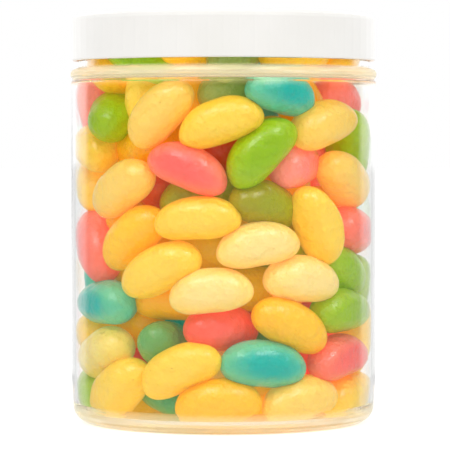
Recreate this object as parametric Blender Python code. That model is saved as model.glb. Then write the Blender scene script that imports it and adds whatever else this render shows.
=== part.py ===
"""A clear plastic jar of jelly beans with a white screw cap.

Three pieces: the jar, the cap and the heap of beans that fills the jar.
Metres, +Z up, the origin at the middle of the foot. The front is towards -Y.
"""

import math

import bmesh
import bpy
import numpy as np

for old in list(bpy.data.objects):
    bpy.data.objects.remove(old, do_unlink=True)


# Driving sizes

MM = 0.001
TURN_STEPS = 64                  # sides of the round pieces
THREAD_STEPS = 28                # steps of a thread in one turn

BODY_RADIUS = 41.9 * MM          # the straight wall
BEAD_RADIUS = 42.1 * MM          # the round bead under the shoulder
BEAD_GROOVE = 41.45 * MM         # the groove below the bead
BEAD_ROUND = 1.5 * MM
BASE_RADIUS = 41.4 * MM          # the wall just above the foot
CORNER_RADIUS = 4.6 * MM         # the round between wall and foot
WALL = 1.15 * MM
NECK_RADIUS = 39.9 * MM          # the ledge seen between shoulder and cap
THREAD_WALL_RADIUS = 38.9 * MM   # the neck inside the cap
NECK_BORE_RADIUS = 37.8 * MM
FOOT_WIDTH = 2.6 * MM            # the flat ring that the jar stands on
PUSH_UP = 1.7 * MM               # how far the middle of the base is raised
FLOOR_THICKNESS = 1.4 * MM
BEAD_BOTTOM = 93.7 * MM
SHOULDER_TOP = 96.8 * MM
LEDGE_TOP = 98.9 * MM
RIM_HEIGHT = 110.0 * MM

CAP_RADIUS = 41.6 * MM
CAP_BOTTOM = 99.0 * MM
CAP_TOP = 111.5 * MM
CAP_WALL = 1.3 * MM
CAP_ROOF = 1.2 * MM
CAP_EDGE_RADIUS = 1.6 * MM

THREAD_PITCH = 4.2 * MM
THREAD_WIDTH = 1.3 * MM
THREAD_TURNS = 1.1
JAR_THREAD_BOTTOM = 102.8 * MM
JAR_THREAD_REACH = 1.0 * MM
CAP_THREAD_REACH = 1.0 * MM


# Materials

def plain_material(name, colour, roughness, transmission=0.0):
    """A Principled material of one colour."""
    material = bpy.data.materials.new(name)
    material.use_nodes = True
    shader = material.node_tree.nodes["Principled BSDF"]
    shader.inputs["Base Color"].default_value = (*colour, 1.0)
    shader.inputs["Roughness"].default_value = roughness
    shader.inputs["Metallic"].default_value = 0.0
    shader.inputs["Transmission Weight"].default_value = transmission
    material.diffuse_color = (*colour, 1.0)
    return material


clear_plastic = plain_material("clear_plastic", (0.93, 0.96, 0.96), 0.05, 1.0)
white_plastic = plain_material("white_plastic", (0.90, 0.89, 0.86), 0.35)
bean_shell = plain_material("bean_shell", (0.95, 0.55, 0.12), 0.25)


# Shapes shared by the jar and the cap

def arc(centre_radius, centre_height, size, start, end, steps):
    """Points of a round corner, from one angle to the other in degrees."""
    points = []
    for step in range(steps + 1):
        angle = math.radians(start + (end - start) * step / steps)
        points.append((centre_radius + size * math.cos(angle), centre_height + size * math.sin(angle)))
    return points


def turned(name, profile, material):
    """A solid turned about Z from a profile that starts and ends on the axis."""
    bm = bmesh.new()
    rim = [bm.verts.new((radius, 0.0, height)) for radius, height in profile]
    edges = [bm.edges.new(pair) for pair in zip(rim[:-1], rim[1:])]
    bmesh.ops.spin(bm, geom=rim + edges, cent=(0, 0, 0), axis=(0, 0, 1),
                   angle=2 * math.pi, steps=TURN_STEPS, use_merge=False)
    bmesh.ops.remove_doubles(bm, verts=bm.verts, dist=1e-6)
    bmesh.ops.recalc_face_normals(bm, faces=bm.faces)
    mesh = bpy.data.meshes.new(name)
    bm.to_mesh(mesh)
    bm.free()
    solid = bpy.data.objects.new(name, mesh)
    bpy.context.scene.collection.objects.link(solid)
    mesh.materials.append(material)
    mesh.shade_smooth()
    mesh.set_sharp_from_angle(angle=math.radians(38))
    return solid


def thread(name, root_radius, reach, bottom):
    """A right-handed screw ridge that climbs by the pitch in each turn and fades out at its ends.

    The ridge stands out from root_radius by reach, inwards where reach is negative.
    """
    steps = int(THREAD_STEPS * THREAD_TURNS)
    fade = 4
    bm = bmesh.new()
    rings = []
    for step in range(steps + 1):
        angle = 2 * math.pi * (step + 0.25) / THREAD_STEPS
        height = bottom + THREAD_PITCH * angle / (2 * math.pi)
        size = min(1.0, (min(step, steps - step) + 1) / fade)
        sunk = root_radius - math.copysign(0.35 * MM, reach)
        crest = root_radius + reach * size
        corners = ((sunk, -THREAD_WIDTH / 2), (crest, -THREAD_WIDTH * 0.22),
                   (crest, THREAD_WIDTH * 0.22), (sunk, THREAD_WIDTH / 2))
        rings.append([bm.verts.new((radius * math.cos(angle), radius * math.sin(angle), height + rise))
                      for radius, rise in corners])
    for first, second in zip(rings[:-1], rings[1:]):
        for corner in range(4):
            after = (corner + 1) % 4
            bm.faces.new((first[corner], first[after], second[after], second[corner]))
    bm.faces.new(rings[0])
    bm.faces.new(rings[-1])
    bmesh.ops.recalc_face_normals(bm, faces=bm.faces)
    mesh = bpy.data.meshes.new(name)
    bm.to_mesh(mesh)
    bm.free()
    ridge = bpy.data.objects.new(name, mesh)
    bpy.context.scene.collection.objects.link(ridge)
    return ridge


def fuse(solid, extra):
    """Join the extra solid to the first one by a Boolean union, and remove it."""
    union = solid.modifiers.new("union", "BOOLEAN")
    union.operation = "UNION"
    union.solver = "EXACT"
    union.object = extra
    settle(solid)
    bpy.data.objects.remove(extra, do_unlink=True)


def settle(solid):
    """Apply the modifiers of an object to its mesh."""
    bpy.context.view_layer.update()
    graph = bpy.context.evaluated_depsgraph_get()
    mesh = bpy.data.meshes.new_from_object(solid.evaluated_get(graph))
    solid.modifiers.clear()
    solid.data = mesh


# Jar: one wall from the raised base over the rim and down the inside

base_corner_radius = BASE_RADIUS - CORNER_RADIUS
foot_inner = base_corner_radius - FOOT_WIDTH
outside = [
    (0.0, PUSH_UP),
    (foot_inner * 0.6, PUSH_UP * 0.85),
    (foot_inner - 1.2 * MM, PUSH_UP * 0.4),
    (foot_inner, 0.0),
]
outside += arc(base_corner_radius, CORNER_RADIUS, CORNER_RADIUS, -90, 0, 4)
outside += [
    (BODY_RADIUS, 13.0 * MM),
    (BODY_RADIUS, BEAD_BOTTOM - 0.5 * MM),
    (BEAD_GROOVE, BEAD_BOTTOM),
]
outside += arc(BEAD_RADIUS - BEAD_ROUND, SHOULDER_TOP - BEAD_ROUND, BEAD_ROUND, -50, 80, 4)
outside += [
    (NECK_RADIUS, SHOULDER_TOP + 0.3 * MM),
    (NECK_RADIUS, LEDGE_TOP),
    (THREAD_WALL_RADIUS, LEDGE_TOP + 0.4 * MM),
    (THREAD_WALL_RADIUS, RIM_HEIGHT - 0.4 * MM),
    (THREAD_WALL_RADIUS - 0.4 * MM, RIM_HEIGHT),
]
inner_corner = 3.8 * MM
inner_base_radius = BASE_RADIUS - WALL
inner_floor = FLOOR_THICKNESS + 0.5 * MM
inside = [
    (NECK_BORE_RADIUS + 0.3 * MM, RIM_HEIGHT),
    (NECK_BORE_RADIUS, RIM_HEIGHT - 0.3 * MM),
    (NECK_BORE_RADIUS, SHOULDER_TOP - 0.3 * MM),
    (NECK_BORE_RADIUS + 1.5 * MM, SHOULDER_TOP - 1.7 * MM),
    (BODY_RADIUS - WALL - 0.45 * MM, SHOULDER_TOP - 3.0 * MM),
    (BODY_RADIUS - WALL, SHOULDER_TOP - 4.0 * MM),
    (BODY_RADIUS - WALL, 13.0 * MM),
]
inside += arc(inner_base_radius - inner_corner, inner_floor + inner_corner, inner_corner, 0, -90, 3)
inside += [
    (foot_inner * 0.6, PUSH_UP * 0.85 + FLOOR_THICKNESS),
    (0.0, PUSH_UP + FLOOR_THICKNESS),
]
jar = turned("jar", outside + inside, clear_plastic)
fuse(jar, thread("jar_thread", THREAD_WALL_RADIUS, JAR_THREAD_REACH, JAR_THREAD_BOTTOM))


# Cap: a shallow cup upside down, with its own thread between the turns of the jar's

cap_bore = CAP_RADIUS - CAP_WALL
cap_outline = [(0.0, CAP_TOP)]
cap_outline += arc(CAP_RADIUS - CAP_EDGE_RADIUS, CAP_TOP - CAP_EDGE_RADIUS, CAP_EDGE_RADIUS, 90, 0, 3)
cap_outline += [
    (CAP_RADIUS, CAP_BOTTOM + 0.3 * MM),
    (CAP_RADIUS - 0.3 * MM, CAP_BOTTOM),
    (cap_bore, CAP_BOTTOM),
    (cap_bore, CAP_TOP - CAP_ROOF - 0.8 * MM),
    (cap_bore - 0.8 * MM, CAP_TOP - CAP_ROOF),
    (0.0, CAP_TOP - CAP_ROOF),
]
cap = turned("cap", cap_outline, white_plastic)
fuse(cap, thread("cap_thread", cap_bore, -CAP_THREAD_REACH, JAR_THREAD_BOTTOM - THREAD_PITCH / 2))


# Beans: where each one lies, in millimetres

BEAN_COUNT = 164
BEAN_HALF = 11.3                 # half of a bean's length
BEAN_RADIUS = 6.05
BEAN_GAP = 0.35                  # clear of the jar
CAVITY_RADIUS = (BODY_RADIUS - WALL) / MM
CAVITY_NECK = NECK_BORE_RADIUS / MM
CAVITY_FLOOR = 3.1
FLOOR_RADII = (0.0, 20.5, 36.4)
FLOOR_HEIGHTS = (3.1, 2.85, 1.9)
CAVITY_TOP = 106.5
CAVITY_CORNER = 4.5
SHOULDER_START = 91.5
SHOULDER_END = 96.5

# The beans that show from the front: how far each lies to the right, its height, the rise
# of its long side to the right and the turn of that side to the back, both in degrees, and
# its distance behind the wall.
FRONT_BEANS = (
    (-31.5, 99.5, 0, 0, 0),
    (-19.5, 100.0, 10, 10, 0),
    (-9.5, 102.0, -5, 45, 3),
    (2.0, 101.5, 75, 20, 4),
    (17.0, 100.5, 0, 0, 0),
    (30.5, 100.0, 0, 0, 0),
    (-16.5, 84.4, 50, 0, 0),
    (-28.9, 84.1, 85, 72, 1),
    (-35.9, 85.2, 82, 0, 0),
    (-0.3, 82.4, 23, 0, 0),
    (14.7, 89.0, -12, 30, 1),
    (31.1, 88.2, -20, 0, 0),
    (26.1, 81.9, 22, 0, 0),
    (10.6, 72.6, 52, 0, 0),
    (17.9, 70.5, -30, 60, 2),
    (31.3, 66.7, -54, 0, 0),
    (34.5, 75.9, -80, 0, 0),
    (-28.0, 95.5, 0, 60, 3),
    (-21.5, 92.0, -80, 0, 6),
    (-9.0, 92.5, -70, 0, 9),
    (2.5, 93.0, 0, 30, 7),
    (-9.0, 69.8, -22, 0, 0),
    (-25.6, 64.3, 38, 0, 0),
    (-34.3, 76.1, -55, 0, 0),
    (-34.5, 65.5, -75, 0, 0),
    (-6.5, 57.4, 8, 0, 0),
    (-23.5, 51.4, 45, 0, 0),
    (-15.4, 41.2, 24, 0, 0),
    (-33.6, 48.9, -80, 0, 0),
    (-30.7, 33.1, 0, 5, 0),
    (-34.7, 38.5, 82, 0, 2),
    (-13.5, 34.0, -6, 0, 6),
    (-4.0, 37.6, -2, 0, 0),
    (9.1, 49.7, 9, 0, 0),
    (10.5, 60.5, -15, 20, 4),
    (25.5, 53.3, -63, 0, 0),
    (20.5, 40.2, -10, 0, 0),
    (33.1, 53.1, 0, 65, 0),
    (27.5, 57.5, -55, 0, 6),
    (29.0, 44.5, -60, 0, 3),
    (34.4, 35.5, -80, 0, 0),
    (31.0, 30.6, 0, 0, 0),
    (17.7, 28.1, -29, 0, 0),
    (-1.2, 27.7, 3, 45, 1.5),
    (10.8, 17.1, -2, 0, 0),
    (32.4, 17.9, 35, 25, 0),
    (27.0, 25.5, 0, 20, 6),
    (33.8, 23.1, 80, 0, 0),
    (33.3, 7.9, 50, 0, 0),
    (20.7, 8.4, 12, 12, 0),
    (-1.8, 9.0, 7, 0, 0),
    (-11.1, 17.5, 30, 0, 0),
    (-28.5, 10.3, 52, 20, 0),
    (-31.8, 18.8, 42, 0, 0),
    (-35.2, 23.9, 20, 0, 0),
    (-15.8, 23.2, 0, 80, 7),
    (-34.0, 9.8, 0, 20, 0),
    (-15.0, 8.5, -15, 0, 9),
    (35.8, 6.7, 10, 30, 0),
    (-22.0, 75.5, 5, 0, 7),
    (-6.0, 62.5, 0, 0, 8),
    (0.5, 74.5, 10, 0, 10),
    (18.0, 63.0, 0, 0, 12),
    (20.5, 87.0, -60, 0, 8),
    (-4.0, 48.0, 0, 0, 9),
    (19.5, 47.5, 0, 0, 8),
    (8.5, 37.0, 0, 0, 10),
    (-23.5, 27.5, 30, 0, 8),
    (23.5, 18.0, 40, 0, 8),
    (10.0, 9.0, 0, 0, 10),
    (-18.5, 65.0, 0, 70, 9),
    (29.5, 38.5, 60, 0, 6),
    (-22.5, 7.5, 0, 60, 10),
)


def packed_beans():
    """Centre, long side, half length and radius of every bean in the full jar.

    Each bean is a row of five balls along its long side. The beans that show from the
    front start in their places, and each of the others at the freest of many random
    spots. Then balls that overlap push each other apart, the walls push them in, and
    both move and turn the beans, while the front ones are held less and less.
    """
    rng = np.random.default_rng(7)
    known = len(FRONT_BEANS)
    along = np.array([-0.62, -0.31, 0.0, 0.31, 0.62])
    swell = np.array([0.72, 0.945, 1.0, 0.945, 0.72])
    half = BEAN_HALF * rng.uniform(0.96, 1.04, BEAN_COUNT)
    fat = BEAN_RADIUS * rng.uniform(0.96, 1.04, BEAN_COUNT)
    centre = np.zeros((BEAN_COUNT, 3))
    axis = np.zeros((BEAN_COUNT, 3))
    for index, (across, height, lean, turn, depth) in enumerate(FRONT_BEANS):
        room = CAVITY_RADIUS if height < SHOULDER_END else CAVITY_NECK
        reach = room - BEAN_GAP - fat[index] - depth
        side = math.asin(max(-1.0, min(1.0, across / reach)))
        out = np.array([math.sin(side), -math.cos(side), 0.0])
        right = np.array([math.cos(side), math.sin(side), 0.0])
        centre[index] = (reach * out[0], reach * out[1], height)
        # seen from the front, the turn of the wall makes a lean look steeper
        rise = math.radians(lean)
        rise = math.atan2(math.sin(rise) * max(0.25, math.cos(side)), math.cos(rise))
        level = math.cos(rise) * right + np.array([0.0, 0.0, math.sin(rise)])
        away = math.radians(turn)
        axis[index] = math.cos(away) * level + math.sin(away) * np.array([0.0, 1.0, 0.0])
    for index in range(known, BEAN_COUNT):
        tries = 60
        radius = (CAVITY_RADIUS - 7.0) * np.sqrt(rng.uniform(0, 1, tries))
        angle = rng.uniform(0, 2 * math.pi, tries)
        height = rng.uniform(CAVITY_FLOOR + 6.0, CAVITY_TOP - 6.0, tries)
        spots = np.stack([radius * np.cos(angle), radius * np.sin(angle), height], 1)
        free = np.linalg.norm(spots[:, None] - centre[None, :index], axis=2).min(1)
        centre[index] = spots[np.argmax(free)]
        axis[index] = rng.normal(size=3) * (1.0, 1.0, 0.8)
    axis /= np.linalg.norm(axis, axis=1)[:, None]

    home = centre[:known].copy()
    aim = axis[:known].copy()
    kept_in = np.array([row[4] >= 3 or abs(row[0]) > 33 for row in FRONT_BEANS])
    offsets = along[None, :] * half[:, None]
    balls = swell[None, :] * fat[:, None]
    inertia = (offsets ** 2).sum(1)
    rounds = 700
    for step in range(rounds):
        if step % 8 == 0:
            centre = np.round(centre, 6)
            axis = np.round(axis, 6)
            apart = np.linalg.norm(centre[:, None] - centre[None], axis=2)
            first, second = np.where(np.triu(apart < 2 * BEAN_HALF + 3.0, 1))
        spots = centre[:, None] + offsets[:, :, None] * axis[:, None]
        push = np.zeros_like(spots)
        between = spots[first][:, :, None] - spots[second][:, None]
        length = np.linalg.norm(between, axis=3)
        overlap = np.maximum(0, balls[first][:, :, None] + balls[second][:, None] - length)
        move = between * (0.5 * overlap / np.maximum(length, 1e-6))[..., None]
        np.add.at(push, first, move.sum(2))
        np.add.at(push, second, -move.sum(1))
        out = np.linalg.norm(spots[..., :2], axis=2)
        height = spots[..., 2]
        blend = np.clip((height - SHOULDER_START) / (SHOULDER_END - SHOULDER_START), 0, 1)
        room = CAVITY_RADIUS + (CAVITY_NECK - CAVITY_RADIUS) * blend - BEAN_GAP - balls
        room -= 0.6 * np.clip((13.0 - height) / 8.0, 0, 1)
        beyond = np.maximum(0, out - room)
        push[..., :2] -= spots[..., :2] * (beyond / np.maximum(out, 1e-6))[..., None]
        floor = np.interp(out, FLOOR_RADII, FLOOR_HEIGHTS)
        push[..., 2] += np.maximum(0, floor + BEAN_GAP + balls - height)
        push[..., 2] -= np.maximum(0, height - (CAVITY_TOP - balls))
        centre += 0.2 * push.sum(1)
        axis += 0.6 * (push * offsets[:, :, None]).sum(1) / inertia[:, None]
        # beans settle, and those near the wall lean on it
        fade = 1.0 - step / rounds
        centre[:, 2] -= 0.05 * fade
        radius = np.linalg.norm(centre[:, :2], axis=1)
        lean_out = centre[:, :2] / np.maximum(radius, 1e-6)[:, None]
        centre[:, :2] += 0.06 * fade * lean_out * (radius > 27.0)[:, None]
        hold = 0.35 * fade + 0.12
        centre[:known, 0] += hold * (home[:, 0] - centre[:known, 0])
        centre[:known, 2] += hold * (home[:, 2] - centre[:known, 2])
        centre[:known, 1] += 0.5 * hold * kept_in * (home[:, 1] - centre[:known, 1])
        axis[:known] += (0.15 * fade + 0.1) * (aim - axis[:known])
        axis /= np.linalg.norm(axis, axis=1)[:, None]
    return centre, axis, half, fat


# Beans: the shapes, one body of a smaller core with the outer beans fused on

CORE_RADIUS = 32.0 * MM
CORE_BOTTOM = 8.5 * MM
CORE_TOP = 100.0 * MM
SHOWS_BY = 4.2 * MM              # a bean that stands out less is left in the core
BEAN_SIDES = 6
BEAN_RINGS = 4
BEAN_BEND = 1.1                  # how far a bean's middle bows, in millimetres


def inner_wall(height):
    """How far out a bean may reach at a height, in millimetres."""
    blend = np.clip((height - SHOULDER_START) / (SHOULDER_END - SHOULDER_START), 0, 1)
    room = CAVITY_RADIUS + (CAVITY_NECK - CAVITY_RADIUS) * blend - BEAN_GAP
    room -= 0.55 * np.clip((13.0 - height) / 8.0, 0, 1)
    low = np.clip((CAVITY_FLOOR + CAVITY_CORNER - height) / CAVITY_CORNER, 0, 1)
    return room - CAVITY_CORNER * (1.0 - np.sqrt(1.0 - low ** 2))


def bean_points(centre, axis, half, fat):
    """Rings of points round a bean's bowed middle line, from one tip to the other.

    The radius falls off towards the tips as (1 - u^2.5)^0.5, and the middle line bows
    sideways by a little of (u^2 - 0.4), which gives the bean its slight kidney shape.
    """
    out = np.array([centre[0], centre[1], 0.0])
    out /= max(1e-6, np.linalg.norm(out))
    side = np.cross(axis, out)
    side /= max(1e-6, np.linalg.norm(side))
    deep = np.cross(side, axis)
    stations = np.sin(np.linspace(-1.0, 1.0, BEAN_RINGS + 2) * math.pi / 2)[1:-1]
    points = [centre - axis * half]
    points[0] = points[0] + side * BEAN_BEND * 0.6
    for along in stations:
        radius = fat * math.sqrt(1.0 - abs(along) ** 2.5)
        middle = centre + axis * half * along + side * BEAN_BEND * (along ** 2 - 0.4)
        for corner in range(BEAN_SIDES):
            angle = 2 * math.pi * (corner + 0.5) / BEAN_SIDES
            points.append(middle + radius * (math.cos(angle) * side + math.sin(angle) * deep))
    points.append(centre + axis * half + side * BEAN_BEND * 0.6)
    points = np.array(points)
    reach = np.linalg.norm(points[:, :2], axis=1)
    limit = inner_wall(points[:, 2])
    points[:, :2] *= np.minimum(1.0, limit / np.maximum(reach, 1e-6))[:, None]
    floor = np.interp(reach, FLOOR_RADII, FLOOR_HEIGHTS)
    points[:, 2] = np.maximum(points[:, 2], floor + BEAN_GAP)
    return points * MM


def bean_solid(name, points):
    """A closed low bean from its rings of points."""
    faces = []
    last = len(points) - 1
    for corner in range(BEAN_SIDES):
        after = (corner + 1) % BEAN_SIDES
        faces.append((0, 1 + after, 1 + corner))
        for ring in range(BEAN_RINGS - 1):
            low = 1 + ring * BEAN_SIDES
            high = low + BEAN_SIDES
            faces.append((low + corner, low + after, high + after))
            faces.append((low + corner, high + after, high + corner))
        top = 1 + (BEAN_RINGS - 1) * BEAN_SIDES
        faces.append((last, top + corner, top + after))
    mesh = bpy.data.meshes.new(name)
    mesh.from_pydata(points.tolist(), [], faces)
    bm = bmesh.new()
    bm.from_mesh(mesh)
    bmesh.ops.recalc_face_normals(bm, faces=bm.faces)
    bm.to_mesh(mesh)
    bm.free()
    return bpy.data.objects.new(name, mesh)


def keep_outer_body(mesh):
    """Leave only the body with the most faces: scraps and sealed hollows go."""
    bm = bmesh.new()
    bm.from_mesh(mesh)
    bmesh.ops.remove_doubles(bm, verts=bm.verts, dist=2e-6)
    left = set(bm.faces)
    bodies = []
    while left:
        body = {left.pop()}
        edge_of_search = list(body)
        while edge_of_search:
            face = edge_of_search.pop()
            for edge in face.edges:
                for other in edge.link_faces:
                    if other in left:
                        left.remove(other)
                        body.add(other)
                        edge_of_search.append(other)
        bodies.append(body)
    bodies.sort(key=len)
    scraps = [face for body in bodies[:-1] for face in body]
    bmesh.ops.delete(bm, geom=scraps, context="FACES")
    bmesh.ops.triangulate(bm, faces=bm.faces)
    bm.to_mesh(mesh)
    bm.free()
    mesh.update()


def core_solid(name):
    """The plain barrel under the outer beans."""
    bm = bmesh.new()
    bmesh.ops.create_cone(bm, cap_ends=True, segments=20, radius1=CORE_RADIUS, radius2=CORE_RADIUS,
                          depth=CORE_TOP - CORE_BOTTOM)
    bmesh.ops.translate(bm, verts=bm.verts, vec=(0, 0, (CORE_TOP + CORE_BOTTOM) / 2))
    mesh = bpy.data.meshes.new(name)
    bm.to_mesh(mesh)
    bm.free()
    solid = bpy.data.objects.new(name, mesh)
    bpy.context.scene.collection.objects.link(solid)
    mesh.materials.append(bean_shell)
    return solid


centres, axes, halves, fats = packed_beans()
pieces = bpy.data.collections.new("bean_pieces")
bpy.context.scene.collection.children.link(pieces)
for index in range(BEAN_COUNT):
    # only a bean that stands out of the core takes part
    spots = bean_points(centres[index], axes[index], halves[index], fats[index])
    reach = np.hypot(spots[:, 0], spots[:, 1]).max() - CORE_RADIUS
    above = spots[:, 2].max() - CORE_TOP
    below = CORE_BOTTOM - spots[:, 2].min()
    if max(reach, above, below) > SHOWS_BY:
        pieces.objects.link(bean_solid("bean", spots))

beans = core_solid("beans")
heap_union = beans.modifiers.new("union", "BOOLEAN")
heap_union.operation = "UNION"
heap_union.operand_type = "COLLECTION"
heap_union.solver = "EXACT"
heap_union.collection = pieces
settle(beans)
for piece in list(pieces.objects):
    bpy.data.objects.remove(piece, do_unlink=True)
bpy.data.collections.remove(pieces)
keep_outer_body(beans.data)
beans.data.shade_smooth()
beans.data.set_sharp_from_angle(angle=math.radians(50))
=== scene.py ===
"""Looks of a clear jar of jelly beans with a white screw cap."""

import math

import bpy
import numpy as np
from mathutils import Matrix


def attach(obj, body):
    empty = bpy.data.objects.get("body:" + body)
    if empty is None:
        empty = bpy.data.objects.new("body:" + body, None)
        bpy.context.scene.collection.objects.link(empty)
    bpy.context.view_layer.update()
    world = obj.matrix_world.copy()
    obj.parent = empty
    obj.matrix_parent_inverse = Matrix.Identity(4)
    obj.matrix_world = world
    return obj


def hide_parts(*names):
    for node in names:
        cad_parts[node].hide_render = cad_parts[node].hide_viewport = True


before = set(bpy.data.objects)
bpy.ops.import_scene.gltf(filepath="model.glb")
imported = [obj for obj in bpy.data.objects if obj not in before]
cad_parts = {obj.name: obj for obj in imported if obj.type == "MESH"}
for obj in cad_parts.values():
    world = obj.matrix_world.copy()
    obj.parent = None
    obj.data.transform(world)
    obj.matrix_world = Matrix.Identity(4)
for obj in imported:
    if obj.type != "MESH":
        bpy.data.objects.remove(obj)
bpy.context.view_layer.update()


# The jar. A blow-moulded clear plastic jar with a thin wall, a bead under the
# shoulder and a raised base. Its solid stays as it is and gets the plastic:
# smooth, very faintly uneven from the mould, and open to the lamps.

# heights in metres between which each zone of thicker plastic fades in or out
BLUR_LOW = (0.0915, 0.0930)
BEAD_LOW = (0.0937, 0.0947)
BEAD_HIGH = (0.0967, 0.0977)
BLUR_HIGH = (0.0965, 0.0975)
FOOT_TOP = (0.0035, 0.0060)


class Shade:
    """A socket of a material's node tree, with sums written as plain arithmetic."""

    def __init__(self, tree, socket=None):
        self.tree = tree
        self.socket = socket

    def node(self, kind, settings=None, values=None, output=0):
        """Adds a node of a type, with its settings first, then its sockets' values or links."""
        made = self.tree.nodes.new(kind)
        for key, value in (settings or {}).items():
            if key == "stops":
                ramp = made.color_ramp.elements
                while len(ramp) < len(value):
                    ramp.new(1.0)
                for stop, (place, colour) in zip(ramp, value):
                    stop.position = place
                    stop.color = colour
            else:
                setattr(made, key, value)
        for key, value in (values or {}).items():
            if isinstance(value, Shade):
                self.tree.links.new(value.socket, made.inputs[key])
            else:
                made.inputs[key].default_value = value
        return Shade(self.tree, made.outputs[output] if made.outputs else None)

    def sum(self, operation, first, second):
        """One Math node."""
        return self.node("ShaderNodeMath", {"operation": operation}, {0: first, 1: second})

    def __add__(self, other):
        return self.sum("ADD", self, other)

    def __radd__(self, other):
        return self.sum("ADD", other, self)

    def __sub__(self, other):
        return self.sum("SUBTRACT", self, other)

    def __rsub__(self, other):
        return self.sum("SUBTRACT", other, self)

    def __mul__(self, other):
        return self.sum("MULTIPLY", self, other)

    def __rmul__(self, other):
        return self.sum("MULTIPLY", other, self)

    def between(self, low, high):
        """0 below low, 1 above high, and a smooth step from one to the other."""
        return self.node("ShaderNodeMapRange", {"interpolation_type": "SMOOTHSTEP"},
                         {"Value": self, "From Min": low, "From Max": high})

    def blend(self, first, second):
        """The first colour where this is 0 and the second where it is 1."""
        return self.node("ShaderNodeMix", {"data_type": "RGBA"}, {0: self, 6: first, 7: second}, 2)


def new_finish(name):
    """An empty material and a Shade to build it with."""
    material = bpy.data.materials.new(name)
    material.use_nodes = True
    material.node_tree.nodes.clear()
    return material, Shade(material.node_tree)


def finish_surface(shade, shader):
    """Makes a shader the surface of its material."""
    shade.node("ShaderNodeOutputMaterial", None, {"Surface": shader})


def rgb(red, green, blue):
    """A screen colour from 0 to 255 as the linear colour that a socket takes."""
    steps = np.array([red, green, blue]) / 255.0
    linear = np.where(steps <= 0.04045, steps / 12.92, ((steps + 0.055) / 1.055) ** 2.4)
    return (*linear.tolist(), 1.0)


clear_plastic, shade = new_finish("clear_plastic")
place = shade.node("ShaderNodeTexCoord", output="Object")
flow = shade.node("ShaderNodeMapping", None, {"Vector": place, "Scale": (1.0, 1.0, 0.25)})
waves = shade.node("ShaderNodeTexNoise", None, {"Vector": flow, "Scale": 55.0, "Detail": 1.0})
haze = shade.node("ShaderNodeTexNoise", None, {"Vector": place, "Scale": 160.0, "Detail": 3.0})

# the solid has flat sides, so the light is bent as by a wall that is truly round
level = shade.node("ShaderNodeVectorMath", {"operation": "MULTIPLY"}, {0: place, 1: (1.0, 1.0, 0.0)})
outward = shade.node("ShaderNodeVectorMath", {"operation": "NORMALIZE"}, {0: level})
flat_side = shade.node("ShaderNodeNewGeometry", output="Normal")
facing = shade.node("ShaderNodeVectorMath", {"operation": "DOT_PRODUCT"},
                    {0: flat_side, 1: outward}, "Value")
lift = shade.node("ShaderNodeVectorMath", {"operation": "MULTIPLY"}, {0: flat_side, 1: (0.0, 0.0, 1.0)})
round_side = shade.node("ShaderNodeVectorMath", {"operation": "SCALE"}, {0: outward, 3: facing})
round_side = shade.node("ShaderNodeVectorMath", {"operation": "ADD"}, {0: round_side, 1: lift})
round_side = shade.node("ShaderNodeVectorMath", {"operation": "NORMALIZE"}, {0: round_side})
relief = shade.node("ShaderNodeBump", None, {
    "Strength": 0.05, "Distance": 0.001, "Height": waves, "Normal": round_side})
# the bead under the neck and the corner of the base are thicker, blurred and a little milky;
# the milky part is tinted cream and they give off a painted warm glow, both standing in for
# the beans' light scattered in the thick plastic
level_up = shade.node("ShaderNodeSeparateXYZ", None, {"Vector": place}, "Z")
thick_bead = level_up.between(*BLUR_LOW) * (1.0 - level_up.between(*BLUR_HIGH))
milky_bead = level_up.between(*BEAD_LOW) * (1.0 - level_up.between(*BEAD_HIGH))
thick_base = 1.0 - level_up.between(*FOOT_TOP)
blurred = thick_bead + thick_base
# painted light: how much warm glow the thick zones give off
painted_glow_share = thick_bead + 0.12 * thick_base
plastic = shade.node("ShaderNodeBsdfPrincipled", None, {
    "Base Color": blurred.blend((0.985, 0.992, 0.99, 1.0), (1.0, 0.975, 0.93, 1.0)),
    "Roughness": 0.01 + 0.03 * haze + 0.10 * blurred,
    "IOR": 1.5,
    "Transmission Weight": 1.0,
    "Emission Color": painted_glow_share.blend((0.0, 0.0, 0.0, 1.0), (0.07, 0.052, 0.03, 1.0)),
    "Emission Strength": 1.0,
    "Normal": relief,
})
lamp_ray = shade.node("ShaderNodeLightPath", output="Is Shadow Ray")
bounced_ray = shade.node("ShaderNodeLightPath", output="Is Diffuse Ray")
unbent = shade.node("ShaderNodeBsdfTransparent", None, {"Color": (1.0, 1.0, 1.0, 1.0)})
# painted light as well: the milky part is tinted cream
milky = shade.node("ShaderNodeBsdfDiffuse", None, {"Color": (1.0, 0.89, 0.58, 1.0)})
plastic = shade.node("ShaderNodeMixShader", None, {
    0: 0.32 * milky_bead + 0.22 * thick_base, 1: plastic, 2: milky})
finish_surface(shade, shade.node("ShaderNodeMixShader", None, {
    0: shade.sum("MAXIMUM", lamp_ray, bounced_ray), 1: plastic, 2: unbent}))

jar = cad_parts["jar"]
for slot in jar.material_slots:
    slot.material = clear_plastic


# The cap. One moulding of white plastic, screwed down over the neck. It has a
# satin skin with a very fine grain and a soft bloom, and is a little glossier
# where it was handled.

white_plastic, shade = new_finish("white_plastic")
place = shade.node("ShaderNodeTexCoord", output="Object")
grain = shade.node("ShaderNodeTexNoise", None, {"Vector": place, "Scale": 2600.0, "Detail": 2.0})
handled = shade.node("ShaderNodeTexNoise", None, {"Vector": place, "Scale": 45.0, "Detail": 3.0})
tone = handled.between(0.3, 0.7).blend(rgb(221, 219, 215), rgb(217, 215, 210))
relief = shade.node("ShaderNodeBump", None, {"Strength": 0.12, "Distance": 0.0001, "Height": grain})
finish_surface(shade, shade.node("ShaderNodeBsdfPrincipled", None, {
    "Base Color": tone,
    "Roughness": 0.3 + 0.16 * handled,
    "IOR": 1.49,
    "Sheen Weight": 0.7,
    "Sheen Roughness": 0.6,
    "Normal": relief,
}))

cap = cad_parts["cap"]
for slot in cap.material_slots:
    slot.material = white_plastic


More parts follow.
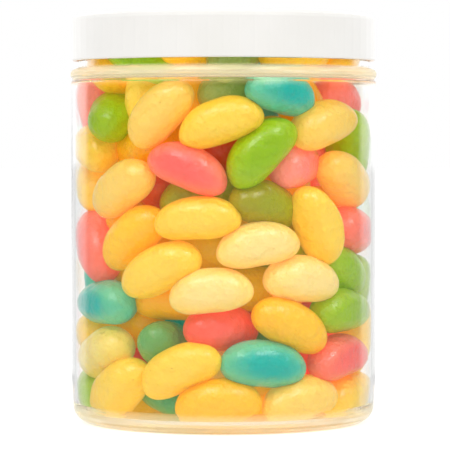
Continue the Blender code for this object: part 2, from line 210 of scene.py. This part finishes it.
# The order of the beans. About 165 loose sweets, poured in and shaken down. Those
# that show from the front lie about where they are seen. The rest fill the jar by
# the same rule as its solid. Lengths are in millimetres up to the last step.

BEAN_COUNT = 164
BEAN_HALF = 11.3                 # half of a bean's length
BEAN_RADIUS = 6.05
BEAN_GAP = 0.35                  # between a packed bean and the jar
CAVITY_RADIUS = 41.9 - 1.15      # the straight wall less its thickness
CAVITY_NECK = 37.8
CAVITY_FLOOR = 3.1
FLOOR_RADII = (0.0, 20.5, 36.4)
FLOOR_HEIGHTS = (3.1, 2.85, 1.9)
CAVITY_TOP = 106.5
SHOULDER_START = 91.5
SHOULDER_END = 96.5
TAPER_TOP = 13.0                 # height below which the wall narrows towards the foot
TAPER_RISE = 8.0                 # and the height over which it does
PACKED_TAPER = 0.6               # by how much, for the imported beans

# a bean is packed as five balls, with these places in half its length and radii in its own
BALLS_ALONG = (-0.62, -0.31, 0.0, 0.31, 0.62)
BALLS_SWELL = (0.72, 0.945, 1.0, 0.945, 0.72)
PACKING_SEED = 7
SPOTS_TRIED = 60                 # for each bean that doesn't show from the front
SPOTS_INSET = 7.0                # how far those spots lie inside the wall
SPOTS_MARGIN = 6.0               # and inside floor and top
ROUNDS = 700
PUSH_MOVES = 0.2                 # share of a push that moves a bean
PUSH_TURNS = 0.6                 # share of a push that turns it
SINKS = 0.05                     # how far a bean sinks in the first round
LEANS = 0.06                     # how far it moves to the wall in the first round
LEANS_FROM = 27.0                # if it lies further out than this
HELD_AT_FIRST = 0.35             # pull of a front bean to its place, which fades
HELD_AT_LAST = 0.12              # and the part of the pull that stays
AIMED_AT_FIRST = 0.15            # the same for its long side
AIMED_AT_LAST = 0.1
DEEP_FROM = 3                    # distance behind the wall from which it is also held in depth
SIDE_FROM = 33                   # distance to the left or right from which it is, too

# Where each bean is pulled to while it settles: how far to the right and how high,
# the rise of its long side to the right and the turn of that side to the back, both
# in degrees, and its distance behind the wall. Then its flavour. A trial program then
# shifted the first two numbers of about forty rows by up to 1.4 mm, so that the beans
# settle about where they are seen.
FRONT_BEANS = (
    (-31.5, 99.5, 0, 0, 0, "amber"),
    (-19.5, 100.0, 10, 10, 0, "lime"),
    (-9.5, 102.0, -5, 45, 3, "amber"),
    (2.0, 101.5, 75, 20, 4, "fern"),
    (17.0, 100.5, 0, 0, 0, "amber"),
    (30.5, 100.0, 0, 0, 0, "amber"),
    (-16.5, 84.4, 50, 0, 0, "peach"),
    (-28.9, 84.1, 85, 72, 1, "lime"),
    (-35.9, 85.2, 82, 0, 0, "salmon"),
    (-0.3, 82.4, 23, 0, 0, "yellow"),
    (14.7, 89.0, -12, 30, 1, "blue"),
    (31.1, 88.2, -20, 0, 0, "salmon"),
    (26.1, 81.9, 22, 0, 0, "peach"),
    (10.6, 72.6, 52, 0, 0, "lime"),
    (17.9, 70.5, -30, 60, 2, "salmon"),
    (31.3, 66.7, -54, 0, 0, "peach"),
    (34.5, 75.9, -80, 0, 0, "lime"),
    (-28.0, 95.5, 0, 60, 3, "amber"),
    (-21.5, 92.0, -80, 0, 6, "yellow"),
    (-9.0, 92.5, -70, 0, 9, "amber"),
    (2.5, 93.0, 0, 30, 7, "fern"),
    (-9.0, 69.8, -22, 0, 0, "pink"),
    (-25.6, 64.3, 38, 0, 0, "peach"),
    (-34.3, 76.1, -55, 0, 0, "yellow"),
    (-34.5, 65.5, -75, 0, 0, "yellow"),
    (-6.5, 57.4, 8, 0, 0, "yellow"),
    (-23.5, 51.4, 45, 0, 0, "amber"),
    (-15.4, 41.2, 24, 0, 0, "yellow"),
    (-33.6, 48.9, -80, 0, 0, "pink"),
    (-30.7, 33.1, 0, 5, 0, "blue"),
    (-34.7, 38.5, 82, 0, 2, "blue"),
    (-13.5, 34.0, -6, 0, 6, "orange"),
    (-4.0, 37.6, -2, 0, 0, "cream"),
    (9.1, 49.7, 9, 0, 0, "cream"),
    (10.5, 60.5, -15, 20, 4, "olive"),
    (25.5, 53.3, -63, 0, 0, "yellow"),
    (20.5, 40.2, -10, 0, 0, "cream"),
    (33.1, 53.1, 0, 65, 0, "pink"),
    (27.5, 57.5, -55, 0, 6, "orange"),
    (29.0, 44.5, -60, 0, 3, "lime"),
    (34.4, 35.5, -80, 0, 0, "lime"),
    (31.0, 30.6, 0, 0, 0, "lime"),
    (17.7, 28.1, -29, 0, 0, "amber"),
    (-1.2, 27.7, 3, 45, 1.5, "coral"),
    (10.8, 17.1, -2, 0, 0, "blue"),
    (32.4, 17.9, 35, 25, 0, "pink"),
    (27.0, 25.5, 0, 20, 6, "pink"),
    (33.8, 23.1, 80, 0, 0, "yellow"),
    (33.3, 7.9, 50, 0, 0, "yellow"),
    (20.7, 8.4, 12, 12, 0, "peach"),
    (-1.8, 9.0, 7, 0, 0, "amber"),
    (-11.1, 17.5, 30, 0, 0, "yellow"),
    (-28.5, 10.3, 52, 20, 0, "yellow"),
    (-31.8, 18.8, 42, 0, 0, "lemon"),
    (-35.2, 23.9, 20, 0, 0, "yellow"),
    (-15.8, 23.2, 0, 80, 7, "green"),
    (-34.0, 9.8, 0, 20, 0, "lime"),
    (-15.0, 8.5, -15, 0, 9, "green"),
    (35.8, 6.7, 10, 30, 0, "lime"),
    (-22.0, 75.5, 5, 0, 7, "orange"),
    (-6.0, 62.5, 0, 0, 8, "olive"),
    (0.5, 74.5, 10, 0, 10, "red"),
    (18.0, 63.0, 0, 0, 12, "orange"),
    (20.5, 87.0, -60, 0, 8, "orange"),
    (-4.0, 48.0, 0, 0, 9, "ochre"),
    (19.5, 47.5, 0, 0, 8, "olive"),
    (8.5, 37.0, 0, 0, 10, "ochre"),
    (-23.5, 27.5, 30, 0, 8, "orange"),
    (23.5, 18.0, 40, 0, 8, "pink"),
    (10.0, 9.0, 0, 0, 10, "amber"),
    (-18.5, 65.0, 0, 70, 9, "red"),
    (29.5, 38.5, 60, 0, 6, "pink"),
    (-22.5, 7.5, 0, 60, 10, "ochre"),
)


def packed_beans():
    """Centre, long side, half length and radius of every bean in the full jar.

    Each bean is a row of five balls along its long side. The beans that show from the
    front start in their places, and each of the others at the freest of many random
    spots. Then balls that overlap push each other apart, the walls push them in, and
    both move and turn the beans, while the front ones are held less and less.
    """
    rng = np.random.default_rng(PACKING_SEED)
    known = len(FRONT_BEANS)
    along = np.array(BALLS_ALONG)
    swell = np.array(BALLS_SWELL)
    half = BEAN_HALF * rng.uniform(0.96, 1.04, BEAN_COUNT)
    fat = BEAN_RADIUS * rng.uniform(0.96, 1.04, BEAN_COUNT)
    centre = np.zeros((BEAN_COUNT, 3))
    axis = np.zeros((BEAN_COUNT, 3))
    for index, (across, height, lean, turn, depth, _) in enumerate(FRONT_BEANS):
        room = CAVITY_RADIUS if height < SHOULDER_END else CAVITY_NECK
        reach = room - BEAN_GAP - fat[index] - depth
        side = math.asin(max(-1.0, min(1.0, across / reach)))
        out = np.array([math.sin(side), -math.cos(side), 0.0])
        right = np.array([math.cos(side), math.sin(side), 0.0])
        centre[index] = (reach * out[0], reach * out[1], height)
        # seen from the front, the turn of the wall makes a lean look steeper
        rise = math.radians(lean)
        rise = math.atan2(math.sin(rise) * max(0.25, math.cos(side)), math.cos(rise))
        level = math.cos(rise) * right + np.array([0.0, 0.0, math.sin(rise)])
        away = math.radians(turn)
        axis[index] = math.cos(away) * level + math.sin(away) * np.array([0.0, 1.0, 0.0])
    for index in range(known, BEAN_COUNT):
        radius = (CAVITY_RADIUS - SPOTS_INSET) * np.sqrt(rng.uniform(0, 1, SPOTS_TRIED))
        angle = rng.uniform(0, 2 * math.pi, SPOTS_TRIED)
        height = rng.uniform(CAVITY_FLOOR + SPOTS_MARGIN, CAVITY_TOP - SPOTS_MARGIN, SPOTS_TRIED)
        spots = np.stack([radius * np.cos(angle), radius * np.sin(angle), height], 1)
        free = np.linalg.norm(spots[:, None] - centre[None, :index], axis=2).min(1)
        centre[index] = spots[np.argmax(free)]
        axis[index] = rng.normal(size=3) * (1.0, 1.0, 0.8)
    axis /= np.linalg.norm(axis, axis=1)[:, None]

    # the deeper front beans and those at the two sides are held in depth as well
    home = centre[:known].copy()
    aim = axis[:known].copy()
    kept_in = np.array([row[4] >= DEEP_FROM or abs(row[0]) > SIDE_FROM for row in FRONT_BEANS])
    offsets = along[None, :] * half[:, None]
    balls = swell[None, :] * fat[:, None]
    inertia = (offsets ** 2).sum(1)
    for step in range(ROUNDS):
        if step % 8 == 0:
            centre = np.round(centre, 6)
            axis = np.round(axis, 6)
            apart = np.linalg.norm(centre[:, None] - centre[None], axis=2)
            first, second = np.where(np.triu(apart < 2 * BEAN_HALF + 3.0, 1))
        spots = centre[:, None] + offsets[:, :, None] * axis[:, None]
        push = np.zeros_like(spots)
        between = spots[first][:, :, None] - spots[second][:, None]
        length = np.linalg.norm(between, axis=3)
        overlap = np.maximum(0, balls[first][:, :, None] + balls[second][:, None] - length)
        move = between * (0.5 * overlap / np.maximum(length, 1e-6))[..., None]
        np.add.at(push, first, move.sum(2))
        np.add.at(push, second, -move.sum(1))
        out = np.linalg.norm(spots[..., :2], axis=2)
        height = spots[..., 2]
        blend = np.clip((height - SHOULDER_START) / (SHOULDER_END - SHOULDER_START), 0, 1)
        room = CAVITY_RADIUS + (CAVITY_NECK - CAVITY_RADIUS) * blend - BEAN_GAP - balls
        room -= PACKED_TAPER * np.clip((TAPER_TOP - height) / TAPER_RISE, 0, 1)
        beyond = np.maximum(0, out - room)
        push[..., :2] -= spots[..., :2] * (beyond / np.maximum(out, 1e-6))[..., None]
        floor = np.interp(out, FLOOR_RADII, FLOOR_HEIGHTS)
        push[..., 2] += np.maximum(0, floor + BEAN_GAP + balls - height)
        push[..., 2] -= np.maximum(0, height - (CAVITY_TOP - balls))
        centre += PUSH_MOVES * push.sum(1)
        axis += PUSH_TURNS * (push * offsets[:, :, None]).sum(1) / inertia[:, None]
        # beans settle, and those near the wall lean on it
        fade = 1.0 - step / ROUNDS
        centre[:, 2] -= SINKS * fade
        radius = np.linalg.norm(centre[:, :2], axis=1)
        lean_out = centre[:, :2] / np.maximum(radius, 1e-6)[:, None]
        centre[:, :2] += LEANS * fade * lean_out * (radius > LEANS_FROM)[:, None]
        hold = HELD_AT_FIRST * fade + HELD_AT_LAST
        centre[:known, 0] += hold * (home[:, 0] - centre[:known, 0])
        centre[:known, 2] += hold * (home[:, 2] - centre[:known, 2])
        centre[:known, 1] += 0.5 * hold * kept_in * (home[:, 1] - centre[:known, 1])
        axis[:known] += (AIMED_AT_FIRST * fade + AIMED_AT_LAST) * (aim - axis[:known])
        axis /= np.linalg.norm(axis, axis=1)[:, None]
    return centre, axis, half, fat


# The core. What lies in the middle of the jar is more beans, of which only glimpses
# show between the outer ones. It is one lumpy column of the same sweets.

CORE_RADIUS = 15.0
CORE_BOTTOM = 12.0
CORE_TOP = 96.0
CORE_LUMPS = 0.12                # of its radius
CORE_ROWS = 60
CORE_COLUMNS = 48
MM = 0.001                       # the beans and the core are worked out in millimetres


def lumpy_column(rows, columns):
    """A column with a round end at each height.

    The radius is that of a barrel with an elliptic fall at both ends, raised and
    lowered by the product of two waves that wind around the column in opposite ways.
    """
    up = np.linspace(-1.0, 1.0, rows)[:, None]
    turn = np.linspace(0.0, 2 * math.pi, columns, endpoint=False)[None, :]
    middle = (CORE_TOP + CORE_BOTTOM) / 2
    height = middle + (CORE_TOP - CORE_BOTTOM) / 2 * np.sin(up * math.pi / 2)
    radius = CORE_RADIUS * (1.0 - np.abs(np.sin(up * math.pi / 2)) ** 6) ** 0.5
    lumps = np.sin(14.0 * up + 2.0 * turn) * np.cos(4.0 * turn - 5.0 * up)
    radius = radius * (1.0 + CORE_LUMPS * lumps)
    points = np.stack([radius * np.cos(turn), radius * np.sin(turn), height + 0 * turn], -1)
    return points[None]


def close_rows(points):
    """A mesh's vertices and faces from rows of points, each shape closed by a pole at each end.

    The points are shapes x rows x columns x 3, and the first and last row of each shape
    have shrunk to one point, of which one copy is kept.
    """
    shapes, rows, columns, _ = points.shape
    ring = points[:, 1:-1].reshape(shapes, -1, 3)
    vertices = np.concatenate([points[:, :1, 0], ring, points[:, -1:, 0]], 1)
    count = vertices.shape[1]
    index = 1 + np.arange((rows - 2) * columns).reshape(rows - 2, columns)
    after = np.roll(index, -1, 1)
    sides = np.stack([index[:-1], after[:-1], after[1:], index[1:]], -1).reshape(-1, 4)
    start = np.stack([0 * index[0], after[0], index[0]], -1)
    end = np.stack([0 * index[0] + count - 1, index[-1], after[-1]], -1)
    step = (np.arange(shapes) * count)[:, None, None]
    quads = (sides[None] + step).reshape(-1, 4)
    threes = (np.concatenate([start, end])[None] + step).reshape(-1, 3)
    return vertices.reshape(-1, 3), quads, threes


def mesh_piece(name, points, material, fields=None):
    """An object of closed shapes in millimetres, smooth all over, with its fields of numbers."""
    vertices, quads, threes = close_rows(points)
    mesh = bpy.data.meshes.new(name)
    mesh.from_pydata((vertices * MM).tolist(), [], quads.tolist() + threes.tolist())
    mesh.shade_smooth()
    for field, numbers in (fields or {}).items():
        values = np.concatenate([numbers[:, :1, 0], numbers[:, 1:-1].reshape(len(numbers), -1),
                                 numbers[:, -1:, 0]], 1)
        layer = mesh.attributes.new(field, "FLOAT", "POINT")
        layer.data.foreach_set("value", values.reshape(-1).astype(np.float32))
    mesh.materials.append(material)
    piece = bpy.data.objects.new(name, mesh)
    bpy.context.scene.collection.objects.link(piece)
    return piece


core_finish, shade = new_finish("core_beans")
place = shade.node("ShaderNodeTexCoord", output="Object")
patches = shade.node("ShaderNodeTexVoronoi", None, {"Vector": place, "Scale": 75.0}, 1)
amount = shade.node("ShaderNodeSeparateColor", None, {"Color": patches})
mixed_sweets = shade.node("ShaderNodeValToRGB", {"stops": [
    (0.0, rgb(210, 146, 40)), (0.45, rgb(222, 168, 50)),
    (0.7, rgb(180, 104, 40)), (1.0, rgb(140, 140, 44))]}, {"Fac": amount})
finish_surface(shade, shade.node("ShaderNodeBsdfPrincipled", None, {
    "Base Color": mixed_sweets, "Roughness": 0.4}))

core = mesh_piece("bean_core", lumpy_column(CORE_ROWS, CORE_COLUMNS), core_finish)
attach(core, "root")
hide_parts("beans")


# The beans. Each is a chewy, see-through sweet in a thin polished sugar shell,
# slightly bowed, one end fatter than the other, its colour paler and yellower
# towards the ends and rims, partly its own tint and partly painted rim light, with
# specks of vanilla. The deeper ones carry a painted glow. One piece holds all of one flavour.

BEAN_ROWS = 30
BEAN_COLUMNS = 32
BEAN_BEND = 1.1                  # how far a bean's middle bows
LONGER = 1.025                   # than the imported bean, which has a little room all round
FATTER = 1.045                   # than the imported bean
GLIMPSED = 162                   # a packed bean that shows between the front ones
DRAWS_SEED = 23
HIDDEN_WITHIN = 9.0              # beans this near the axis are left to the core
GLOW = 0.23                      # share of its colour that a deeper sweet gives off as painted glow
GLOW_FROM = 0.3                  # depth behind the wall at which it starts
GLOW_OVER = 6.0                  # and over which it grows
GLOW_AXIS = 22.0                 # distance from the jar's axis inside which it falls off
GLOW_LEAST = 0.45                # share that is left of it at the axis
NECK_GLOW = 1.1                  # times the full painted glow, for all sweets in the neck, which the cap shades
NECK_GLOW_FROM = 94.5            # height at which that starts
NECK_GLOW_OVER = 3.0             # and over which it grows
TAPERED = 0.10                   # how much a bean's two ends may differ, of its radius
WAVES = (0.022, 0.012)           # heights of its two kinds of waves, of its radius
FLATTENED = 0.07                 # share by which it may be narrower
THICKENED = 0.03                 # and share by which it may be thicker
TOUCH = 0.06                     # between a bean and the wall that it leans on
WALL_TAPER = 0.55                # by how much the wall narrows towards the foot
CAVITY_CORNER = 4.5              # radius of the round between wall and floor

# middle of the bean, towards its ends and rims (partly painted rim light), its share among the beans at
# the back
FLAVOURS = {
    "amber": (rgb(255, 195, 40), rgb(255, 182, 28), 5),
    "yellow": (rgb(255, 209, 74), rgb(255, 201, 54), 5),
    "peach": (rgb(255, 208, 98), rgb(255, 201, 86), 4),
    "cream": (rgb(255, 220, 138), rgb(255, 212, 112), 2),
    "lemon": (rgb(244, 220, 128), rgb(238, 210, 96), 1),
    "pink": (rgb(254, 104, 93), rgb(255, 126, 98), 3),
    "salmon": (rgb(255, 122, 108), rgb(255, 146, 124), 2),
    "coral": (rgb(244, 100, 82), rgb(236, 92, 62), 1),
    "lime": (rgb(146, 186, 0), rgb(160, 192, 0), 3),
    "blue": (rgb(0, 176, 160), rgb(118, 198, 146), 2),
    "green": (rgb(72, 152, 92), rgb(116, 164, 84), 1),
    "fern": (rgb(142, 162, 70), rgb(158, 170, 88), 1),
    "orange": (rgb(234, 168, 10), rgb(232, 164, 8), 4),
    "ochre": (rgb(206, 172, 14), rgb(204, 168, 12), 2),
    "red": (rgb(190, 66, 8), rgb(198, 80, 10), 1),
    "olive": (rgb(150, 154, 4), rgb(158, 148, 6), 1),
}


def inner_wall(height):
    """How far out a bean may reach at a height."""
    blend = np.clip((height - SHOULDER_START) / (SHOULDER_END - SHOULDER_START), 0, 1)
    room = CAVITY_RADIUS + (CAVITY_NECK - CAVITY_RADIUS) * blend - TOUCH
    room -= WALL_TAPER * np.clip((TAPER_TOP - height) / TAPER_RISE, 0, 1)
    low = np.clip((CAVITY_FLOOR + CAVITY_CORNER - height) / CAVITY_CORNER, 0, 1)
    return room - CAVITY_CORNER * (1.0 - np.sqrt(1.0 - low ** 2))


def bean_surfaces(centre, axis, half, fat, draws):
    """Points of many beans, how far each is from the outward flank, and how much painted glow it gives
    off.

    Along a bean u runs from -1 to 1 and the radius is (1 - |u|^2.5)^0.5, a little larger
    at one end. The middle line bows by (u^2 - 0.4). Slow waves of u and of the angle
    make the flanks uneven, and points beyond the wall of the jar are pressed back to it.
    The painted glow rises with the depth behind the wall, falls off towards the axis of the jar,
    and is full in the neck, which the cap shades.
    """
    out = centre * (1.0, 1.0, 0.0)
    out /= np.linalg.norm(out, axis=1)[:, None]
    side = np.cross(axis, out)
    side /= np.linalg.norm(side, axis=1)[:, None]
    deep = np.cross(side, axis)
    u = np.sin(np.linspace(-1.0, 1.0, BEAN_ROWS) * math.pi / 2)[None, :, None]
    angle = np.linspace(0.0, 2 * math.pi, BEAN_COLUMNS, endpoint=False)[None, None, :]
    taper, flat, bow, swell = (draws[:, k][:, None, None] for k in range(4))
    first, second, third = (2 * math.pi * draws[:, k][:, None, None] for k in range(4, 7))
    radius = fat[:, None, None] * np.sqrt(np.maximum(0.0, 1.0 - np.abs(u) ** 2.5))
    radius = radius * (1.0 + TAPERED * (taper - 0.5) * u)
    radius = radius * (1.0 + WAVES[0] * np.sin(4.0 * u + first) * np.cos(2 * angle + second)
                       + WAVES[1] * np.sin(7.0 * u + third) * np.cos(3 * angle + first))
    middle = (BEAN_BEND * (0.7 + 0.8 * bow) * (u ** 2 - 0.4))[..., None] * side[:, None, None]
    middle = middle + centre[:, None, None] + (half[:, None, None] * u)[..., None] * axis[:, None, None]
    across = np.cos(angle) * (1.0 - FLATTENED * flat)
    through = np.sin(angle) * (1.0 + THICKENED * swell)
    points = middle + (radius * across)[..., None] * side[:, None, None] \
        + (radius * through)[..., None] * deep[:, None, None]
    reach = np.linalg.norm(points[..., :2], axis=-1)
    points[..., :2] *= np.minimum(1.0, inner_wall(points[..., 2]) / np.maximum(reach, 1e-6))[..., None]
    floor = np.interp(reach, FLOOR_RADII, FLOOR_HEIGHTS)
    points[..., 2] = np.maximum(points[..., 2], floor + TOUCH)
    # how far each point is from the wall-facing flank, which sets the end colour and the painted rim
    # light
    outward = np.sign((deep * out).sum(1))[:, None, None]
    away = np.sqrt(0.85 * u ** 2 + (0.9 * np.cos(angle)) ** 2) + 0.5 * (1.0 - outward * np.sin(angle))
    reach = np.linalg.norm(points[..., :2], axis=-1)
    depth = CAVITY_RADIUS - reach
    # how much painted glow each point gives off
    inside = np.clip((depth - GLOW_FROM) / GLOW_OVER, 0.0, 1.0)
    inside = inside * np.clip(reach / GLOW_AXIS, GLOW_LEAST, 1.0)
    neck = np.clip((points[..., 2] - NECK_GLOW_FROM) / NECK_GLOW_OVER, 0.0, 1.0)
    inside = np.maximum(inside, NECK_GLOW * neck)
    return points, away, inside


def shell_finish(name, middle, end):
    """The polished shell of one flavour."""
    material, shade = new_finish("shell_" + name)
    place = shade.node("ShaderNodeTexCoord", output="Object")
    away = shade.node("ShaderNodeAttribute", {"attribute_name": "away"}, output="Fac")
    batch = shade.node("ShaderNodeAttribute", {"attribute_name": "batch"}, output="Fac")
    cloud = shade.node("ShaderNodeTexNoise", None, {"Vector": place, "Scale": 240.0, "Detail": 4.0})
    specks = shade.node("ShaderNodeTexNoise", None, {"Vector": place, "Scale": 1500.0, "Detail": 2.0})
    pits = shade.node("ShaderNodeTexNoise", None, {"Vector": place, "Scale": 400.0, "Detail": 4.0})
    # the colour changes towards the ends and rims, partly the sweet's own tint and partly
    # painted rim light that stands in for sheen and light through the sweet; some beans
    # have paler clouds than others
    rim = (away + 0.5 * cloud).between(0.55, 1.35)
    colour = rim.blend(middle, end)
    pale = (*(0.98 * np.array(middle[:3]) + 0.015).tolist(), 1.0)
    colour = (0.5 * batch * cloud).blend(colour, pale)
    colour = (0.5 * specks.between(0.70, 0.76)).blend(colour, rgb(150, 92, 30))
    # painted light: the deeper sweets give off a glow in their own colour, standing in for
    # light that has gone through other sweets
    inside = shade.node("ShaderNodeAttribute", {"attribute_name": "inside"}, output="Fac")
    deeper = (*(np.array(middle[:3]) * GLOW).tolist(), 1.0)
    painted_glow = inside.blend((0.0, 0.0, 0.0, 1.0), deeper)
    relief = shade.node("ShaderNodeBump", None, {"Strength": 1.0, "Distance": 0.0012, "Height": pits})
    finish_surface(shade, shade.node("ShaderNodeBsdfPrincipled", None, {
        "Base Color": colour,
        "Roughness": 0.24 + 0.14 * cloud,
        "IOR": 1.42,
        "Subsurface Weight": 0.5,
        "Subsurface Radius": (1.0, 0.70, 0.35),
        "Subsurface Scale": 0.004,
        "Coat Weight": 0.6,
        "Coat Roughness": 0.21,
        "Emission Color": painted_glow,
        "Emission Strength": 1.0,
        "Normal": relief,
    }))
    return material


centre, axis, half, fat = packed_beans()
rng = np.random.default_rng(DRAWS_SEED)
# for each bean: taper, flatness, bow and thickness, the start of three waves, and its batch
draws = rng.uniform(0.0, 1.0, (BEAN_COUNT, 8))
names = list(FLAVOURS)
shares = np.array([FLAVOURS[name][2] for name in names], float)
flavour = rng.choice(names, BEAN_COUNT, p=shares / shares.sum())
flavour[:len(FRONT_BEANS)] = [row[5] for row in FRONT_BEANS]
flavour[GLIMPSED] = "orange"
from_axis = np.linalg.norm(centre[:, :2], axis=1)
shown = from_axis > HIDDEN_WITHIN

for name in names:
    mine = np.flatnonzero((flavour == name) & shown)
    if len(mine) == 0:
        continue
    points, away, inside = bean_surfaces(centre[mine], axis[mine], LONGER * half[mine],
                                         FATTER * fat[mine], draws[mine])
    batch = np.broadcast_to(draws[mine, 7][:, None, None], away.shape)
    beans = mesh_piece("beans_" + name, points, shell_finish(name, *FLAVOURS[name][:2]),
                       {"away": away, "batch": batch, "inside": inside})
    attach(beans, "root")
    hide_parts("beans")


# The table and the light. The jar stands on a plain white table in front of a
# white wall, with large soft lamps above. Behind the camera the room is dim, so
# the plastic mirrors white only along its two sides.

TABLE_HALF = 6.0                 # half of its width in metres, past the edges of the picture

table_top = bpy.data.meshes.new("table_top")
corners = [(across * TABLE_HALF, along * TABLE_HALF, 0)
           for across, along in ((-1, -1), (1, -1), (1, 1), (-1, 1))]
table_top.from_pydata(corners, [], [(0, 1, 2, 3)])
floor = bpy.data.objects.new("floor", table_top)
bpy.context.scene.collection.objects.link(floor)
pale_table, shade = new_finish("pale_table")
place = shade.node("ShaderNodeTexCoord", output="Object")
from_middle = shade.node("ShaderNodeVectorMath", {"operation": "LENGTH"}, {0: place}, 1)
# painted light: under the jar the table gives off an amber glow, standing in for the light that has come
# through the sweets
in_the_open = from_middle.between(0.0350, 0.0395)
bright_top = shade.node("ShaderNodeBsdfPrincipled", None, {
    "Base Color": (0.35, 0.35, 0.35, 1.0), "Roughness": 0.9, "Specular IOR Level": 0.0,
    "Emission Color": in_the_open.blend((0.84, 0.50, 0.14, 1.0), (0.75, 0.75, 0.75, 1.0)),
    "Emission Strength": 1.0})
# painted reflection: in what the wall and the sweets mirror, the table is painted as a dim sheet, so
# that it mirrors dark
mirrors = shade.node("ShaderNodeLightPath", output="Glossy Depth")
painted_dim_reflection = 0.62 * (mirrors.between(0.4, 0.6) - mirrors.between(1.4, 1.6))
painted_dim_reflection = painted_dim_reflection * (0.5 + 0.5 * from_middle.between(0.036, 0.060))
# the painted dark reflection of the table
painted_dark_reflection = shade.node("ShaderNodeEmission", None, {"Color": (0.06, 0.052, 0.042, 1.0)})
finish_surface(shade, shade.node("ShaderNodeMixShader", None, {0: painted_dim_reflection, 1: bright_top, 2: painted_dark_reflection}))
table_top.materials.append(pale_table)
floor.visible_glossy = False

room = bpy.data.worlds.new("room")
bpy.context.scene.world = room
room.use_nodes = True
room.node_tree.nodes.clear()
shade = Shade(room.node_tree)
direction = shade.node("ShaderNodeTexCoord", output="Generated")
to_the_back = shade.node("ShaderNodeSeparateXYZ", None, {"Vector": direction}, "Y")
upward = shade.node("ShaderNodeSeparateXYZ", None, {"Vector": direction}, "Z")
seen = shade.node("ShaderNodeLightPath", output="Is Camera Ray")
bounced = shade.node("ShaderNodeLightPath", output="Is Diffuse Ray")
bent = shade.node("ShaderNodeLightPath", output="Is Transmission Ray")
walls_passed = shade.node("ShaderNodeLightPath", output="Transmission Depth")
reflections = shade.node("ShaderNodeLightPath", output="Glossy Depth")
# the back wall is white, and the rest of the room dim, a little less so overhead
back_wall = to_the_back.between(0.52, 0.64)
ceiling = shade.sum("ABSOLUTE", upward, 0.0).between(0.10, 0.22)
# rays that wander inside the thin wall are kept bright, or the bead and foot turn dark
in_the_wall = (1.0 - walls_passed.between(2.4, 2.6)) * bent
dim = 0.05 + 0.2 * ceiling + 0.7 * ceiling * in_the_wall
piped = reflections.between(1.4, 1.6) * in_the_wall
dim = dim + piped * (0.95 - dim)
through_plastic = dim + back_wall * (1.05 - dim)
brightness = seen + (1.0 - seen) * (bounced * 0.92 + (1.0 - bounced) * through_plastic)
background = shade.node("ShaderNodeBackground", None, {
    "Color": (1.0, 1.0, 1.0, 1.0), "Strength": brightness})
shade.node("ShaderNodeOutputWorld", None, {"Surface": background})
room.cycles.sampling_method = "NONE"

# the lamps are squares that face the middle of the jar
JAR_MIDDLE = (0.0, 0.0, 0.055)

for name, spot, size, power in (
        ("lamp_left", (-0.36, -0.60, 0.98), 0.50, 3.8),
        ("lamp_right", (0.50, -0.50, 0.95), 0.40, 2.9),
        ("lamp_top", (0.05, 0.30, 1.10), 0.80, 1.0)):
    lamp = bpy.data.lights.new(name, "AREA")
    lamp.size = size
    lamp.energy = power
    light = bpy.data.objects.new(name, lamp)
    light.location = spot
    toward = np.array(JAR_MIDDLE) - np.array(spot)
    flat = math.hypot(toward[0], toward[1])
    light.rotation_euler = (math.atan2(flat, -toward[2]), 0.0, math.atan2(-toward[0], toward[1]))
    bpy.context.scene.collection.objects.link(light)


# The camera. It looks at the jar from 0.74 m, a little above its middle and
# tilted down by under two degrees.

CAMERA_SIDE = 0.0004
CAMERA_DISTANCE = 0.738
CAMERA_HEIGHT = 0.0779
CAMERA_TILT = 1.86
CAMERA_LENS = 214.4

lens = bpy.data.cameras.new("camera")
lens.sensor_width = 36.0
lens.lens = CAMERA_LENS
camera = bpy.data.objects.new("camera", lens)
camera.location = (CAMERA_SIDE, -CAMERA_DISTANCE, CAMERA_HEIGHT)
camera.rotation_euler = (math.radians(90.0 - CAMERA_TILT), 0.0, 0.0)
bpy.context.scene.collection.objects.link(camera)
bpy.context.scene.camera = camera
bpy.context.scene.view_settings.view_transform = "Standard"

# light is mirrored and bent many times inside the clear wall
bpy.context.scene.cycles.max_bounces = 40
bpy.context.scene.cycles.diffuse_bounces = 8
bpy.context.scene.cycles.glossy_bounces = 24
bpy.context.scene.cycles.transmission_bounces = 32
